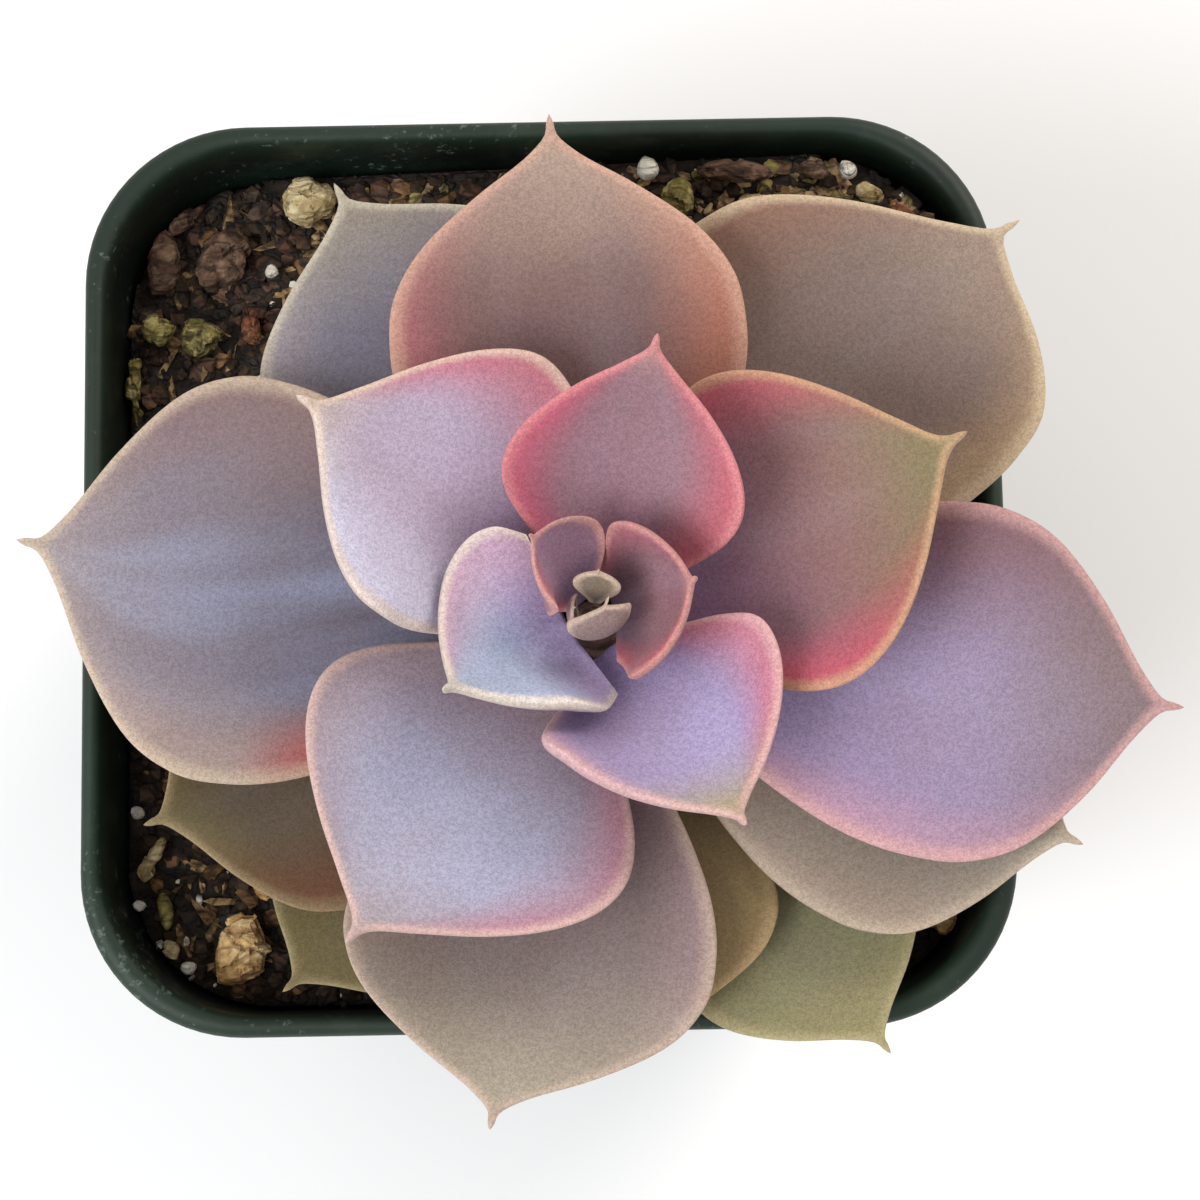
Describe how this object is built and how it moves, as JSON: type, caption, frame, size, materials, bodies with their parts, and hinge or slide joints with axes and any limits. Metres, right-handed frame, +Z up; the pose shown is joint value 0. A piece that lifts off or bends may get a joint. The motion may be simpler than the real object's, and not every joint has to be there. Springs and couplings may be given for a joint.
{
  "type": "potted succulent",
  "caption": "Rosette succulent with thick, pointed, cupped leaves on a short stem, growing in bark mix in a tapered square nursery pot with round corners.",
  "frame": {"origin": "centre of the pot's underside, on the surface that it stands on", "axes": "+Z up, -Y towards the viewer's side of the pot, +X to the right; the pot's four sides face +X, -X, +Y and -Y"},
  "size_m": [0.1208, 0.112, 0.1198],
  "materials": {
    "pot": "satin, dusty",
    "potting_mix": "rough, damp",
    "stem": "rough",
    "leaf_bud": "waxy bloom, satin",
    "leaf_rose": "waxy bloom, satin",
    "leaf_lilac": "waxy bloom, satin",
    "leaf_olive": "waxy bloom, satin",
    "bark_brown": "rough",
    "bark_cream": "rough",
    "bark_olive": "rough",
    "bark_red": "rough",
    "bark_tan": "rough",
    "perlite": "rough"
  },
  "bodies": {
    "root": {"pot": "pot", "potting_mix": "potting_mix", "stem": "stem", "leaf_01": "leaf_bud", "leaf_02": "leaf_bud", "leaf_03": "leaf_bud", "leaf_04": "leaf_rose", "leaf_05": "leaf_rose", "leaf_06": "leaf_rose", "leaf_07": "leaf_rose", "leaf_08": "leaf_rose", "leaf_09": "leaf_rose", "leaf_10": "leaf_rose", "leaf_11": "leaf_rose", "leaf_12": "leaf_lilac", "leaf_13": "leaf_lilac", "leaf_14": "leaf_lilac", "leaf_15": "leaf_lilac", "leaf_16": "leaf_lilac", "leaf_17": "leaf_lilac", "leaf_18": "leaf_lilac", "leaf_19": "leaf_olive", "leaf_20": "leaf_olive", "leaf_21": "leaf_olive", "leaf_22": "leaf_olive", "leaf_23": "leaf_olive", "leaf_24": "leaf_olive", "leaf_25": "leaf_olive", "leaf_26": "leaf_olive", "bark_01": "bark_brown", "bark_02": "bark_brown", "bark_03": "bark_cream", "bark_04": "bark_olive", "bark_05": "bark_olive", "bark_06": "bark_red", "bark_07": "bark_brown", "bark_08": "bark_olive", "bark_09": "bark_brown", "bark_10": "bark_olive", "bark_11": "bark_cream", "bark_12": "bark_brown", "bark_13": "bark_cream", "bark_14": "bark_red", "bark_15": "bark_red", "bark_16": "bark_cream", "bark_17": "bark_olive", "bark_18": "bark_tan", "bark_19": "bark_tan", "bark_20": "bark_cream", "bark_21": "bark_tan", "perlite_01": "perlite", "perlite_02": "perlite", "perlite_03": "perlite", "perlite_04": "perlite", "perlite_05": "perlite", "perlite_06": "perlite"}
  },
  "joints": []
}
